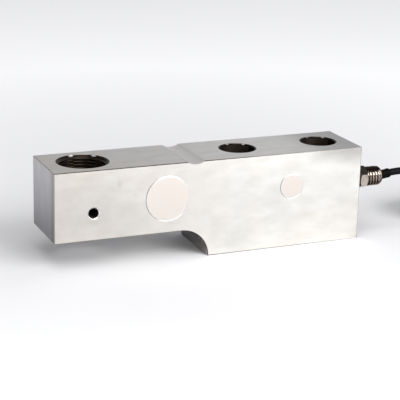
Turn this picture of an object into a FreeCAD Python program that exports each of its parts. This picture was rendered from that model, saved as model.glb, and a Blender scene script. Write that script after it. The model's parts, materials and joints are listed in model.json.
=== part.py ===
import FreeCAD, Part
import math
import os

from FreeCAD import Vector

# Single-ended shear beam load cell with a cable, drawn in millimetres.
# The origin is on the base face, midway between the two mounting holes.
# +X runs along the beam towards the cable end, +Z is up, and the front is the -Y side.

# The beam: one piece of tool steel. Its length is the sum of the distances along it.
beam_width = 42.5
block_height = 60.0
arm_height = 42.5
load_end_margin = 24.0
load_to_mounting = 100.0
mounting_spacing = 56.0
cable_end_margin = 20.0
block_margin = 27.35
underside_fillet_r = 17.5
groove_before_block = 8.8
groove_r = 10.2
groove_depth = 1.7
edge_break = 0.4

# Holes through the beam. Threaded holes are drawn at the thread's outer diameter.
load_thread_d = 30.0
load_mouth_chamfer = 1.0
mounting_hole_d = 22.0
mounting_mouth_chamfer = 0.7
lock_thread_d = 6.0
lock_mouth_chamfer = 0.8
lock_screw_z = 34.0

# The gauge pockets lie back to back, with a thin shear web between their floors.
load_to_gauge = 46.0
gauge_pocket_d = 24.0
gauge_recess_d = 27.7
shear_web = 8.0
wiring_pocket_d = 12.4
wiring_recess_d = 15.7
wiring_pocket_depth = 15.0
cover_thickness = 1.5
cover_rise = 0.15
cover_rim_r = 0.5
weld_bevel = 0.15
fit_gap = 0.05

# The drilled way for the wires, beside the mounting holes, and the way through the web.
passage_d = 3.6
passage_inset = 6.25
passage_drop = 0.75
web_hole_d = 3.0
web_hole_reach = 9.4

# The gland in the cable end.
gland_inset = 7.75
gland_thread_d = 10.0
gland_bore_depth = 9.0
spigot_length = 8.4
seal_thickness = 1.4
seal_d = 14.2
seal_rounding = 0.4
hex_across_flats = 13.0
hex_length = 5.4
hex_turn_deg = 25.0
hex_chamfer = 1.0
relief_d = 10.8
relief_length = 1.2
conduit_thread_d = 12.4
conduit_root_d = 10.8
conduit_pitch = 2.0
conduit_crests = 4
nose_margin = 2.1
crest_flat = 0.5
dome_length = 3.0
dome_rim = 0.4
dome_nose_d = 8.2
dome_steps = 5
gland_exit_d = 4.8
gland_chamber_d = 8.0
grommet_length = 8.0
grommet_taper = 1.0
grommet_squeeze = 0.1
washer_thickness = 0.8
clamp_screw_length = 6.0
driver_slot = 1.2
nose_wall = 6.0

# What lies in the pockets.
gauge_foil = 7.0
gauge_foil_thickness = 0.15
gauge_grid = 3.2
gauge_grid_width = 1.6
terminal_reach = 5.4
terminal_width = 2.4
terminal_height = 5.0
terminal_thickness = 0.5
board_d = 11.2
board_thickness = 1.0
resistor_d = 1.6
resistor_length = 3.4
resistor_cap_d = 1.8
resistor_cap_length = 0.7
resistor_leg_d = 0.5
resistor_leg_reach = 0.8
resistor_lift = 1.2
resistor_offset = 3.6
lead_wire_d = 0.8
core_wire_d = 0.9
wire_pitch = 1.1
wire_bend_r = 2.0
board_pad_offset = 3.0
rear_lead_loop = 4.0

# The cable, its sleeve and its far end.
cable_d = 4.5
arc_share = 0.45
# The corners of the free cable: how far past the gland's nose, to the side and up.
cable_hang = [(11.4, 0.0, 0.0), (24.4, -0.1, 1.0), (37.4, -0.4, -1.7), (48.9, -0.7, -6.1),
              (58.4, -0.9, -10.0)]
jacket_cut_inset = 3.0
sleeve_length = 7.0
sleeve_wall = 0.6
sleeve_gap = 0.08
far_sleeve_d = 5.6
far_sleeve_length = 14.0
tail_lead_d = 1.2
tail_circle_d = 2.6
tail_lead_count = 5
# Where a lead bends on its way down to the floor, and where it ends.
tail_lead_bends = (6.0, 15.0, 25.0)
tail_lead_length = 34.0
bare_tip_d = 0.8
bare_tip_length = 6.0
floor_gap = 0.1
hank_side_gap = 0.3

# The stored length of cable: a flat hank of long turns, side by side and in layers.
hank_fold_x = 125.0
hank_run = 90.0
hank_fold_r = 14.5
hank_columns = 2
hank_layers = 5
hank_landing_run = 8.0
hank_entry_run = 16.0
hank_tail_run = 35.0
tie_thickness = 0.8
tie_width = 3.6
tie_head = (5.0, 5.4, 3.2)
tie_tail_length = 4.5
front_tie_run = 65.0
rear_tie_run = 40.0

# Places that follow from the sizes above.
half_width = beam_width / 2
half_spacing = mounting_spacing / 2
cable_end_x = half_spacing + cable_end_margin
load_hole_x = -half_spacing - load_to_mounting
free_end_x = load_hole_x - load_end_margin
block_corner_x = -half_spacing - block_margin
gauge_x = load_hole_x + load_to_gauge
arm_bottom_z = block_height - arm_height
underside_corner_r = min(underside_fillet_r, arm_bottom_z)
corner_start_x = block_corner_x - underside_corner_r
arm_mid_z = block_height - arm_height / 2
passage_y = -half_width + passage_inset
passage_z = arm_mid_z - passage_drop
gland_y = -half_width + gland_inset
gland_z = passage_z
hex_x = cable_end_x + seal_thickness
relief_x = hex_x + hex_length
thread_x = relief_x + relief_length
nose_x = thread_x + conduit_crests * conduit_pitch + nose_margin
jacket_end_x = cable_end_x - jacket_cut_inset
web_face = shear_web / 2
board_face_y = -half_width + wiring_pocket_depth - board_thickness
web_hole_x = gauge_x + web_hole_reach
terminal_x = gauge_x + terminal_reach
hank_floor = tie_thickness
hank_inner_r = hank_fold_r - cable_d / 2
hank_outer_r = hank_inner_r + hank_columns * cable_d
hank_top = hank_floor + hank_layers * cable_d
top_turn_outer_r = hank_inner_r + cable_d
tail_x = hank_fold_x + hank_tail_run
tail_y = -hank_outer_r - hank_side_gap - far_sleeve_d / 2
tail_z = hank_floor + cable_d / 2

# How far a cutter runs past the face it opens, and how near counts as the same place.
overrun = 5.0
same_place = 0.01

X = Vector(1, 0, 0)
Y = Vector(0, 1, 0)
Z = Vector(0, 0, 1)


def rod(diameter, start, along, length):
    """A plain round bar."""
    return Part.makeCylinder(diameter / 2, length, start, along)


def cone(d_start, d_end, start, along, length):
    """A round bar that tapers."""
    return Part.makeCone(d_start / 2, d_end / 2, length, start, along)


def turned(profile, start, along):
    """Turn a profile of (distance along the axis, radius) pairs about the axis."""
    points = [Vector(r, 0, a) for a, r in profile]
    wire = Part.makePolygon(points + points[:1])
    solid = Part.Face(wire).revolve(Vector(0, 0, 0), Z, 360)
    turn = FreeCAD.Rotation(Z, along)
    solid.Placement = FreeCAD.Placement(start, turn)
    return solid


def mouth(diameter, chamfer, face_point, inward):
    """The cone that a countersink leaves at the mouth of a hole."""
    outside = face_point - inward * overrun
    widest = diameter + 2 * chamfer + 2 * overrun
    return cone(widest, diameter, outside, inward, chamfer + overrun)


def rounded_path(points, report=None, largest=math.inf):
    """Straight runs joined by tangent arcs, as large as the runs and the stated limit allow."""
    edges = []
    radii = []
    here = points[0]
    for before, corner, after in zip(points, points[1:], points[2:]):
        back = (before - corner).normalize()
        ahead = (after - corner).normalize()
        turn = math.pi - back.getAngle(ahead)
        shorter = min((before - corner).Length, (after - corner).Length)
        radius = min(largest, arc_share * shorter / math.tan(turn / 2))
        tangent = radius * math.tan(turn / 2)
        radii.append(radius)
        enter = corner + back * tangent
        leave = corner + ahead * tangent
        half_way = (back + ahead).normalize()
        centre_distance = radius / math.cos(turn / 2)
        middle = corner + half_way * (centre_distance - radius)
        edges.append(Part.LineSegment(here, enter).toShape())
        edges.append(Part.Arc(enter, middle, leave).toShape())
        here = leave
    edges.append(Part.LineSegment(here, points[-1]).toShape())
    if report:
        print(report, "radii", [round(r, 1) for r in radii])
    return Part.Wire(edges)


def round_tube(points, diameter, report=None, largest=math.inf):
    """A round wire or cable along a rounded path."""
    path = rounded_path(points, report, largest)
    along = points[1] - points[0]
    ring = Part.Wire([Part.makeCircle(diameter / 2, points[0], along)])
    tube = path.makePipeShell([ring], True, False)
    if report:
        section = math.pi * diameter ** 2 / 4
        print(report, "length", round(path.Length, 1), "volume", round(tube.Volume, 1),
              "section x length", round(section * path.Length, 1))
    return tube


def stadium(radius, base_z, height):
    """A long plate with round ends, the outline of one turn of the hank."""
    left = Vector(hank_fold_x, 0, base_z)
    right = Vector(hank_fold_x + hank_run, 0, base_z)
    ends = rod(2 * radius, left, Z, height).fuse(rod(2 * radius, right, Z, height))
    middle = Part.makeBox(hank_run, 2 * radius, height, left - Y * radius)
    return ends.fuse(middle).removeSplitter()


def is_seam(edge):
    """True for the line where the arm's flat underside runs into its round corner."""
    crosses_beam = edge.Length > beam_width - same_place
    seam = Vector(corner_start_x, 0, arm_bottom_z)
    return crosses_beam and edge.CenterOfMass.distanceToPoint(seam) < same_place


def make_beam_blank():
    """The milled bar: a deep block, a shallower arm, and a round corner between them."""
    length = cable_end_x - free_end_x
    blank = Part.makeBox(length, beam_width, block_height, Vector(free_end_x, -half_width, 0))
    across = beam_width + 2 * overrun
    side_y = -half_width - overrun
    below_arm = Part.makeBox(corner_start_x - free_end_x + overrun, across, arm_bottom_z + overrun,
                             Vector(free_end_x - overrun, side_y, -overrun))
    wall_space = Part.makeBox(underside_corner_r, across, arm_bottom_z - underside_corner_r + overrun,
                              Vector(corner_start_x, side_y, -overrun))
    corner = rod(2 * underside_corner_r,
                 Vector(corner_start_x, side_y, arm_bottom_z - underside_corner_r), Y, across)
    blank = blank.cut(below_arm.fuse([wall_space, corner]))
    edges = [edge for edge in blank.Edges if not is_seam(edge)]
    return blank.makeChamfer(edge_break, edges)


def pocket(centre_x, side, recess_d, pocket_d, depth):
    """A round pocket in a side face, with a ledge for its cover and a small bevel for the weld."""
    inward = Y * -side
    face = Vector(centre_x, side * half_width, arm_mid_z)
    outside = face - inward * overrun
    recess = rod(recess_d, outside, inward, cover_thickness + overrun)
    deep = rod(pocket_d, outside, inward, depth + overrun)
    return recess.fuse([deep, mouth(recess_d, weld_bevel, face, inward)])


def upright_hole(centre_x, diameter, chamfer, bottom_z):
    """A hole through the beam from top to bottom, countersunk at the top."""
    foot = Vector(centre_x, 0, bottom_z)
    top = Vector(centre_x, 0, block_height)
    shaft = rod(diameter, foot - Z * overrun, Z, block_height - bottom_z + 2 * overrun)
    return shaft.fuse(mouth(diameter, chamfer, top, -Z))


def make_beam():
    """The beam with every hole, pocket and passage drilled in it."""
    groove = rod(2 * groove_r,
                 Vector(block_corner_x - groove_before_block, -half_width - overrun,
                        block_height + groove_r - groove_depth), Y, beam_width + 2 * overrun)
    lock_face = Vector(load_hole_x, -half_width, lock_screw_z)
    lock_hole = rod(lock_thread_d, lock_face - Y * overrun, Y, half_width + overrun)
    end_face = Vector(cable_end_x, gland_y, gland_z)
    gland_bore = rod(gland_thread_d, end_face + X * overrun, -X, gland_bore_depth + overrun)
    passage = rod(passage_d, Vector(cable_end_x - gland_bore_depth, passage_y, passage_z), -X,
                  cable_end_x - gland_bore_depth - gauge_x)
    web_hole_start = Vector(web_hole_x, -shear_web, passage_z - wire_pitch / 2)
    web_hole = rod(web_hole_d, web_hole_start, Y, 2 * shear_web)
    gauge_depth = half_width - web_face
    load_foot = Vector(load_hole_x, 0, arm_bottom_z)
    tools = [
        upright_hole(load_hole_x, load_thread_d, load_mouth_chamfer, arm_bottom_z),
        mouth(load_thread_d, load_mouth_chamfer, load_foot, Z),
        upright_hole(-half_spacing, mounting_hole_d, mounting_mouth_chamfer, 0),
        upright_hole(half_spacing, mounting_hole_d, mounting_mouth_chamfer, 0),
        lock_hole, mouth(lock_thread_d, lock_mouth_chamfer, lock_face, Y),
        pocket(gauge_x, -1, gauge_recess_d, gauge_pocket_d, gauge_depth),
        pocket(gauge_x, 1, gauge_recess_d, gauge_pocket_d, gauge_depth),
        pocket(0, -1, wiring_recess_d, wiring_pocket_d, wiring_pocket_depth),
        gland_bore, passage, web_hole,
    ]
    return make_beam_blank().cut([groove] + tools)


def cover(centre_x, side, recess_d):
    """A welded disc that stands a little proud of the beam, with a rounded rim."""
    seat = Vector(centre_x, side * (half_width - cover_thickness), arm_mid_z)
    disc = rod(recess_d - 2 * fit_gap, seat, Y * side, cover_thickness + cover_rise)
    outer_y = side * (half_width + cover_rise)
    rim = [edge for edge in disc.Edges if abs(edge.CenterOfMass.y - outer_y) < same_place]
    return disc.makeFillet(cover_rim_r, rim)


def slab_on_wall(centre, width, height, thickness, side):
    """A thin plate that lies flat on a wall facing the given side."""
    near = min(0, side * thickness)
    return Part.makeBox(width, thickness, height, centre + Vector(-width / 2, near, -height / 2))


def strain_gauge(side):
    """A foil gauge: its backing, and two grids that cross the web at 45 degrees."""
    wall = Vector(gauge_x, side * web_face, arm_mid_z)
    foil = slab_on_wall(wall, gauge_foil, gauge_foil, gauge_foil_thickness, side)
    for sign in (-1, 1):
        centre = wall + X * (sign * gauge_foil / 4)
        grid = slab_on_wall(centre, gauge_grid_width, gauge_grid, 2 * gauge_foil_thickness, side)
        grid.rotate(centre, Y, sign * 45)
        foil = foil.fuse(grid)
    return foil


def terminal_pad(side):
    """The solder terminal beside a gauge, where its leads start."""
    wall = Vector(terminal_x, side * web_face, passage_z)
    return slab_on_wall(wall, terminal_width, terminal_height, terminal_thickness, side)


def gauge_lead_pair(side):
    """Two lead wires, from a terminal through the passage to the board."""
    level = passage_z - side * wire_pitch / 2
    start_y = side * (web_face + terminal_thickness)
    wires = []
    for offset in (-wire_pitch / 2, wire_pitch / 2):
        lane_y = passage_y + offset
        if side > 0:
            loop_y = start_y + rear_lead_loop + offset
            route = [Vector(terminal_x - offset, start_y, level),
                     Vector(terminal_x - offset, loop_y, level),
                     Vector(web_hole_x + offset, loop_y, level),
                     Vector(web_hole_x + offset, lane_y, level)]
        else:
            route = [Vector(terminal_x + offset, start_y, level),
                     Vector(terminal_x + offset, lane_y, level)]
        board_x = -board_pad_offset - offset
        route += [Vector(board_x, lane_y, level), Vector(board_x, board_face_y, level)]
        wires.append(round_tube(route, lead_wire_d, largest=wire_bend_r))
    return Part.Compound(wires)


def cable_cores():
    """The four cores, from the cut jacket through the passage to the board."""
    wires = []
    step_x = cable_end_x - gland_bore_depth
    for offset in (-wire_pitch / 2, wire_pitch / 2):
        for lift in (-wire_pitch / 2, wire_pitch / 2):
            board_x = board_pad_offset + offset
            level = passage_z + lift
            lane_y = passage_y + offset
            route = [Vector(jacket_end_x, gland_y + offset, level),
                     Vector(jacket_end_x - 2 * core_wire_d, gland_y + offset, level),
                     Vector(step_x + core_wire_d, lane_y, level),
                     Vector(board_x, lane_y, level),
                     Vector(board_x, board_face_y, level)]
            wires.append(round_tube(route, core_wire_d, largest=wire_bend_r))
    return Part.Compound(wires)


def trim_board():
    """The round board on the floor of the wiring pocket."""
    return rod(board_d, Vector(0, board_face_y, arm_mid_z), Y, board_thickness)


def trim_resistors():
    """Two axial resistors that stand on the board on their bent legs."""
    parts = []
    axis_y = board_face_y - resistor_lift
    half = resistor_length / 2
    cap = half - resistor_cap_length
    body_profile = [(-half, 0), (-half, resistor_cap_d / 2), (-cap, resistor_cap_d / 2),
                    (-cap, resistor_d / 2), (cap, resistor_d / 2), (cap, resistor_cap_d / 2),
                    (half, resistor_cap_d / 2), (half, 0)]
    for sign in (-1, 1):
        centre = Vector(0, axis_y, arm_mid_z + sign * resistor_offset)
        resistor = turned(body_profile, centre, X)
        for end in (-1, 1):
            tip = centre + X * (end * half)
            bend = tip + X * (end * resistor_leg_reach)
            leg = round_tube([tip, bend, bend + Y * resistor_lift], resistor_leg_d)
            resistor = resistor.fuse(leg)
        parts.append(resistor)
    return Part.Compound(parts)


def dome_radius(x):
    """The radius that nothing on the barrel passes: straight, then a quarter ellipse."""
    nose_r = dome_nose_d / 2
    share = max(0.0, (x - nose_x + dome_length) / dome_length)
    return nose_r + (conduit_thread_d / 2 - nose_r) * math.sqrt(1 - min(1.0, share) ** 2)


def thread_profile():
    """Half the outline of the conduit thread, whose last crests shrink with the dome."""
    depth = (conduit_thread_d - conduit_root_d) / 2
    slope = (conduit_pitch - 2 * crest_flat) / 2
    outline = []
    for turn in range(conduit_crests):
        base = thread_x + turn * conduit_pitch
        crest = base + slope
        outline += [(base, dome_radius(base) - depth), (crest, dome_radius(crest)),
                    (crest + crest_flat, dome_radius(crest + crest_flat)),
                    (crest + crest_flat + slope, dome_radius(crest + crest_flat + slope) - depth)]
    return outline


def dome_profile():
    """The plain end of the dome, from the last thread turn to the nose."""
    start = nose_x - nose_margin + dome_rim
    outline = []
    for step in range(dome_steps + 1):
        x = start + (nose_x - start) * math.sin(math.pi / 2 * step / dome_steps)
        outline.append((x, dome_radius(x)))
    return outline


def make_gland_body():
    """The gland: a threaded spigot, a hexagon, and a conduit thread with a domed nose."""
    origin = Vector(0, gland_y, gland_z)
    spigot_r = gland_thread_d / 2 - fit_gap
    inner_x = cable_end_x - spigot_length
    chamber_r = gland_chamber_d / 2
    shoulder_x = nose_x - nose_wall
    barrel_profile = (
        [(inner_x, chamber_r), (inner_x, spigot_r), (relief_x, spigot_r), (relief_x, relief_d / 2)]
        + thread_profile() + dome_profile()
        + [(nose_x, gland_exit_d / 2), (shoulder_x + grommet_taper, gland_exit_d / 2),
           (shoulder_x, chamber_r)])
    barrel = turned(barrel_profile, origin, X)
    corner_r = hex_across_flats / 2 / math.cos(math.pi / 6)
    corners = []
    for number in range(6):
        angle = math.radians(60 * number + hex_turn_deg)
        corners.append(Vector(hex_x, gland_y - corner_r * math.cos(angle),
                              gland_z + corner_r * math.sin(angle)))
    hexagon = Part.Face(Part.makePolygon(corners + corners[:1])).extrude(X * hex_length)
    rim_r = corner_r - hex_chamfer
    rounding = turned([(hex_x, 0), (hex_x, rim_r), (hex_x + hex_chamfer, corner_r),
                       (relief_x - hex_chamfer, corner_r), (relief_x, rim_r), (relief_x, 0)],
                      origin, X)
    bore = rod(gland_chamber_d, origin + X * inner_x, X, shoulder_x - inner_x)
    return barrel.fuse(hexagon.common(rounding).cut(bore))


def ring(outer_d, inner_d, start_x, length, centre_y, centre_z):
    """A plain ring about an axis along X."""
    start = Vector(start_x, centre_y, centre_z)
    return rod(outer_d, start, X, length).cut(rod(inner_d, start, X, length))


def make_seal():
    """The rubber ring between the hexagon and the end face, with a rounded rim."""
    outer_r = seal_d / 2
    rim = min(seal_rounding, seal_thickness / 2)
    inner_r = gland_thread_d / 2
    profile = [(0, inner_r), (0, outer_r - rim), (rim, outer_r), (seal_thickness - rim, outer_r),
               (seal_thickness, outer_r - rim), (seal_thickness, inner_r)]
    return turned(profile, Vector(cable_end_x, gland_y, gland_z), X)


def make_grommet():
    """The rubber that grips the cable; its nose is a cone that the body squeezes."""
    outer_r = gland_chamber_d / 2 - grommet_squeeze
    inner_r = cable_d / 2 + fit_gap
    end_x = nose_x - nose_wall
    start_x = end_x - grommet_length
    profile = [(start_x, inner_r), (start_x, outer_r), (end_x, outer_r),
               (end_x + grommet_taper / 2, inner_r + grommet_squeeze),
               (end_x + grommet_taper / 2, inner_r)]
    return turned(profile, Vector(0, gland_y, gland_z), X)


def make_thrust_washer():
    """The washer that keeps the screw from twisting the grommet."""
    start_x = nose_x - nose_wall - grommet_length - washer_thickness
    return ring(gland_chamber_d - 2 * grommet_squeeze, gland_exit_d, start_x, washer_thickness,
                gland_y, gland_z)


def make_clamp_screw():
    """The hollow screw behind the washer, with a driver slot across its back."""
    end_x = nose_x - nose_wall - grommet_length - washer_thickness
    start_x = end_x - clamp_screw_length
    screw = ring(gland_chamber_d - 2 * fit_gap, gland_exit_d, start_x, clamp_screw_length,
                 gland_y, gland_z)
    slot = Part.makeBox(driver_slot, gland_chamber_d, driver_slot,
                        Vector(start_x, gland_y - gland_chamber_d / 2, gland_z - driver_slot / 2))
    return screw.cut(slot)


def make_inner_end():
    """The end of the cable's jacket, inside the gland."""
    start = Vector(jacket_end_x, gland_y, gland_z)
    return rod(cable_d, start, X, nose_x - jacket_end_x)


def make_sleeve():
    """The shrunk sleeve where the cable leaves the gland."""
    inner_d = cable_d + 2 * sleeve_gap
    return ring(inner_d + 2 * sleeve_wall, inner_d, nose_x, sleeve_length, gland_y, gland_z)


def cable_route():
    """The free cable from the gland's nose down to the top layer of the hank."""
    nose = Vector(nose_x, gland_y, gland_z)
    top_z = hank_top + cable_d / 2 + fit_gap
    landing = Vector(hank_fold_x + hank_landing_run, -hank_fold_r, top_z)
    entry = Vector(hank_fold_x + hank_entry_run, -hank_fold_r, top_z)
    return [nose] + [nose + Vector(*step) for step in cable_hang] + [landing, entry]


def make_hank():
    """The stored turns as one solid, with the top turn and the tail that leaves them."""
    height = hank_layers * cable_d
    body = stadium(hank_outer_r, hank_floor, height).cut(stadium(hank_inner_r, hank_floor, height))
    top_turn = stadium(top_turn_outer_r, hank_top, cable_d)
    top_turn = top_turn.cut(stadium(hank_inner_r, hank_top, cable_d))
    fold = Part.makeBox(hank_outer_r, 2 * hank_outer_r, cable_d,
                        Vector(hank_fold_x - hank_outer_r, -hank_outer_r, hank_top))
    entry = Part.makeBox(hank_entry_run, hank_outer_r, cable_d,
                         Vector(hank_fold_x, -hank_outer_r, hank_top))
    tail_outside = tail_y - cable_d / 2
    tail = Part.makeBox(hank_tail_run, -hank_outer_r - tail_outside, cable_d,
                        Vector(hank_fold_x, tail_outside, hank_floor))
    return body.fuse([top_turn.cut([fold, entry]), tail]).removeSplitter()


def make_tie(centre_x, side):
    """A cable tie drawn tight round one side of the hank, with its head on top."""
    strap_top = hank_top + cable_d
    outline = [(hank_inner_r, hank_floor), (hank_outer_r, hank_floor), (hank_outer_r, hank_top),
               (top_turn_outer_r, strap_top), (hank_inner_r, strap_top)]
    start_x = centre_x - tie_width / 2
    points = [Vector(start_x, side * r, z) for r, z in outline]
    inside = Part.makePolygon(points + points[:1])
    outside = inside.makeOffset2D(tie_thickness)
    strap = Part.Face(outside).extrude(X * tie_width).cut(Part.Face(inside).extrude(X * tie_width))
    head_z = strap_top + tie_thickness
    length_y, width_x, height_z = tie_head
    head = Part.makeBox(width_x, length_y, height_z,
                        Vector(centre_x - width_x / 2, side * hank_fold_r - length_y / 2, head_z))
    tail_start = side * (hank_fold_r + length_y / 2)
    tail = Part.makeBox(tie_width, tie_tail_length, tie_thickness,
                        Vector(start_x, min(tail_start, tail_start + side * tie_tail_length),
                               head_z + height_z / 2))
    return strap.fuse([head, tail])


def make_far_sleeve():
    """The shrunk sleeve over the cut end of the jacket."""
    outer_r = far_sleeve_d / 2
    lip = outer_r - cable_d / 2
    profile = [(0, 0), (0, cable_d / 2), (lip, outer_r), (far_sleeve_length - lip, outer_r),
               (far_sleeve_length, cable_d / 2), (far_sleeve_length, 0)]
    return turned(profile, Vector(tail_x, tail_y, tail_z), X)


def tail_lead_route(number, spread_y):
    """One of the leads that fan out on the floor beyond the sleeve."""
    angle = 2 * math.pi * number / tail_lead_count + math.pi / 2
    start = Vector(tail_x + far_sleeve_length, tail_y + tail_circle_d / 2 * math.cos(angle),
                   tail_z + tail_circle_d / 2 * math.sin(angle))
    lying_z = tail_lead_d / 2 + floor_gap
    side_y = tail_y + spread_y
    near_floor = lying_z + (start.z - lying_z) / 3
    first, second, third = tail_lead_bends
    return [
        start,
        Vector(start.x + first, start.y, start.z),
        Vector(start.x + second, (start.y + 2 * side_y) / 3, near_floor),
        Vector(start.x + third, side_y, lying_z),
        Vector(start.x + tail_lead_length, side_y + spread_y / 4, lying_z),
    ]


# The fan of the leads: node name, place round the cut end, and how far it strays sideways.
tail_leads = {
    "lead_red": (4, 1.0),
    "lead_shield": (3, -0.6),
    "lead_white": (0, -2.2),
    "lead_black": (2, -3.8),
    "lead_green": (1, -5.4),
}


def make_tail_leads():
    """Five insulated leads and, beyond each, its bare tinned tip."""
    leads = {}
    tips = []
    for name, (number, spread_y) in tail_leads.items():
        route = tail_lead_route(number, spread_y)
        leads[name] = round_tube(route, tail_lead_d)
        along = (route[-1] - route[-2]).normalize()
        tips.append(rod(bare_tip_d, route[-1], along, bare_tip_length))
    leads["bare_tips"] = Part.Compound(tips)
    return leads


nodes = {
    "beam_body": make_beam(),
    "gauge_cover_front": cover(gauge_x, -1, gauge_recess_d),
    "gauge_cover_rear": cover(gauge_x, 1, gauge_recess_d),
    "wiring_cover": cover(0, -1, wiring_recess_d),
    "strain_gauge_front": strain_gauge(-1),
    "strain_gauge_rear": strain_gauge(1),
    "terminal_pad_front": terminal_pad(-1),
    "terminal_pad_rear": terminal_pad(1),
    "gauge_leads_front": gauge_lead_pair(-1),
    "gauge_leads_rear": gauge_lead_pair(1),
    "trim_board": trim_board(),
    "trim_resistors": trim_resistors(),
    "cable_cores": cable_cores(),
    "cable_inner_end": make_inner_end(),
    "gland_body": make_gland_body(),
    "gland_seal": make_seal(),
    "cable_grommet": make_grommet(),
    "thrust_washer": make_thrust_washer(),
    "clamp_screw": make_clamp_screw(),
    "cable_sleeve": make_sleeve(),
    "signal_cable": round_tube(cable_route(), cable_d, "signal_cable"),
    "cable_hank": make_hank(),
    "hank_tie_front": make_tie(hank_fold_x + front_tie_run, -1),
    "hank_tie_rear": make_tie(hank_fold_x + rear_tie_run, 1),
    "far_end_sleeve": make_far_sleeve(),
}
nodes.update(make_tail_leads())

os.makedirs("parts", exist_ok=True)
for name, shape in nodes.items():
    if not shape.isValid():
        print("not valid:", name)
    shape.exportStep(os.path.join("parts", name + ".step"))
    print(name, "solids", len(shape.Solids), "volume", round(shape.Volume, 1))
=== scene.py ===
# %% [markdown]
# # A single-ended beam load cell
# A load cell of this kind is one bar of steel. One end is bolted down, the load hangs on the
# other end, and strain gauges inside measure how much the bar shears. This lesson dresses the
# finished construction: it gives every piece its finish, adds the threads that are too fine for
# the construction model, lays the cable, and sets up the studio and the camera.

# %% Load the construction
import json
import math
import random

import bpy
from mathutils import Matrix, Vector


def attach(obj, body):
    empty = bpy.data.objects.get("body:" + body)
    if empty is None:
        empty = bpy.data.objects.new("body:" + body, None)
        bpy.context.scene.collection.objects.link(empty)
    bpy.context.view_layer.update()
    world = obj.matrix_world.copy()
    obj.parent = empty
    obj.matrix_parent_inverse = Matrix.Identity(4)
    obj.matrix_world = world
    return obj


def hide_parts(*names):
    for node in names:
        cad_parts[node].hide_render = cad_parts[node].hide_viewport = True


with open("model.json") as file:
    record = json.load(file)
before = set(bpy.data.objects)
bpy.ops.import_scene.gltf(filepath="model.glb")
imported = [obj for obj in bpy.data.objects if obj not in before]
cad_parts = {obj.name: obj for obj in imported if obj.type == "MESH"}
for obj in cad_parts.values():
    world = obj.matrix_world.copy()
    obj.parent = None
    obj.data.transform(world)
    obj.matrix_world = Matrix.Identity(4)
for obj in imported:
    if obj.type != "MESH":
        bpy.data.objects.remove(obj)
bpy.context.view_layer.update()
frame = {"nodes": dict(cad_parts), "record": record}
parts = frame["nodes"]
mm = 0.001

# %% [markdown]
# ## Places on the beam
# The construction uses one frame: the origin lies on the base face, midway between the two
# mounting holes, +X runs to the cable end, +Z is up, and the front is the -Y side. The few
# places that the finishes and the new pieces need are named once here, in millimetres.

# %% Name the places
block_height = 60.0
arm_bottom = 17.5
half_width = 21.25
beam_start = -152.0
beam_end = 48.0
mounting_hole_xs = (-28.0, 28.0)
mounting_hole_r = 11.0
load_hole_x = -128.0
load_hole_r = 15.0
lock_screw_z = 34.0
gauge_x = -82.0
wiring_x = 0.0
cover_z = 38.75
gauge_cover_r = 13.8
wiring_cover_r = 7.8
groove_x = -64.15
groove_half = 5.64
mouth = 1.0
gland_axis = Vector((0, -13.5, 38.0))
hexagon_start = 49.4
hexagon_end = 54.8
thread_start = 56.0
nose_x = 66.1
print("the gland's nose is", nose_x - hexagon_start, "mm beyond its seal")

# %% [markdown]
# ## The camera
# The photograph was taken with a long lens, a little above the beam and to the left of its
# middle, and tilted by about a degree and a half. A camera is set by three directions: where it
# looks, what is right and what is up. Working them out from the angles keeps them square to
# each other.

# %% Set up the camera
camera_place = Vector((-0.36490966, -0.72298715, 0.27048645))
camera_turn = math.radians(23.3964)
camera_pitch = math.radians(17.0582)
camera_roll = math.radians(1.469)
focal_pixels = 1336.787
photo_pixels = 400
sensor_width = 36.0

forward = Vector((math.sin(camera_turn) * math.cos(camera_pitch),
                  math.cos(camera_turn) * math.cos(camera_pitch), -math.sin(camera_pitch)))
level_right = Vector((math.cos(camera_turn), -math.sin(camera_turn), 0))
level_up = level_right.cross(forward)
right = level_right * math.cos(camera_roll) + level_up * math.sin(camera_roll)
up = right.cross(forward)

lens = bpy.data.cameras.new("camera")
lens.sensor_width = sensor_width
lens.lens = focal_pixels * sensor_width / photo_pixels
lens.clip_end = 50
camera = bpy.data.objects.new("camera", lens)
camera.matrix_world = (Matrix.Translation(camera_place)
                       @ Matrix((right, up, -forward)).transposed().to_4x4())
bpy.context.collection.objects.link(camera)
bpy.context.scene.camera = camera
print("lens of", round(lens.lens, 1), "mm")

# %% [markdown]
# ## Helpers for materials
# A colour is written as it looks on a screen, in hex. The shader counts in linear light, so one
# function turns the one into the other. One more function adds a shader node, with its settings
# and its links, and everything that follows is built from it.


# %% Colour and node helpers
def linear(hex_colour):
    """A screen colour such as #C9C7C4 as the linear colour that shaders use."""
    levels = [int(hex_colour[i:i + 2], 16) / 255 for i in (1, 3, 5)]
    return [v / 12.92 if v <= 0.04045 else ((v + 0.055) / 1.055) ** 2.4 for v in levels] + [1.0]


def add_node(tree, kind, settings=None, links=None, feeds=None):
    """Add a node. A setting names a property or an input, a link names an input and what drives
    it, and feeds is an input elsewhere that the node's first output drives."""
    new = tree.nodes.new("ShaderNode" + kind)
    for name, value in (settings or {}).items():
        if isinstance(name, int) or name in new.inputs:
            new.inputs[name].default_value = value
        else:
            setattr(new, name, value)
    for name, source in (links or {}).items():
        tree.links.new(source, new.inputs[name])
    if feeds is not None:
        tree.links.new(new.outputs[0], feeds)
    return new


def start_material(name, metallic, roughness, ior=1.5):
    """An empty material with its shader, and the object's own coordinates for patterns."""
    material = bpy.data.materials.new(name)
    material.use_nodes = True
    tree = material.node_tree
    tree.nodes.clear()
    shader = add_node(tree, "BsdfPrincipled",
                      {"Metallic": metallic, "Roughness": roughness, "IOR": ior})
    add_node(tree, "OutputMaterial", links={"Surface": shader.outputs["BSDF"]})
    place = add_node(tree, "TexCoord").outputs["Object"]
    return material, tree, shader, place


print("in linear light, the screen's middle grey is", round(linear("#808080")[0], 3))

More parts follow.
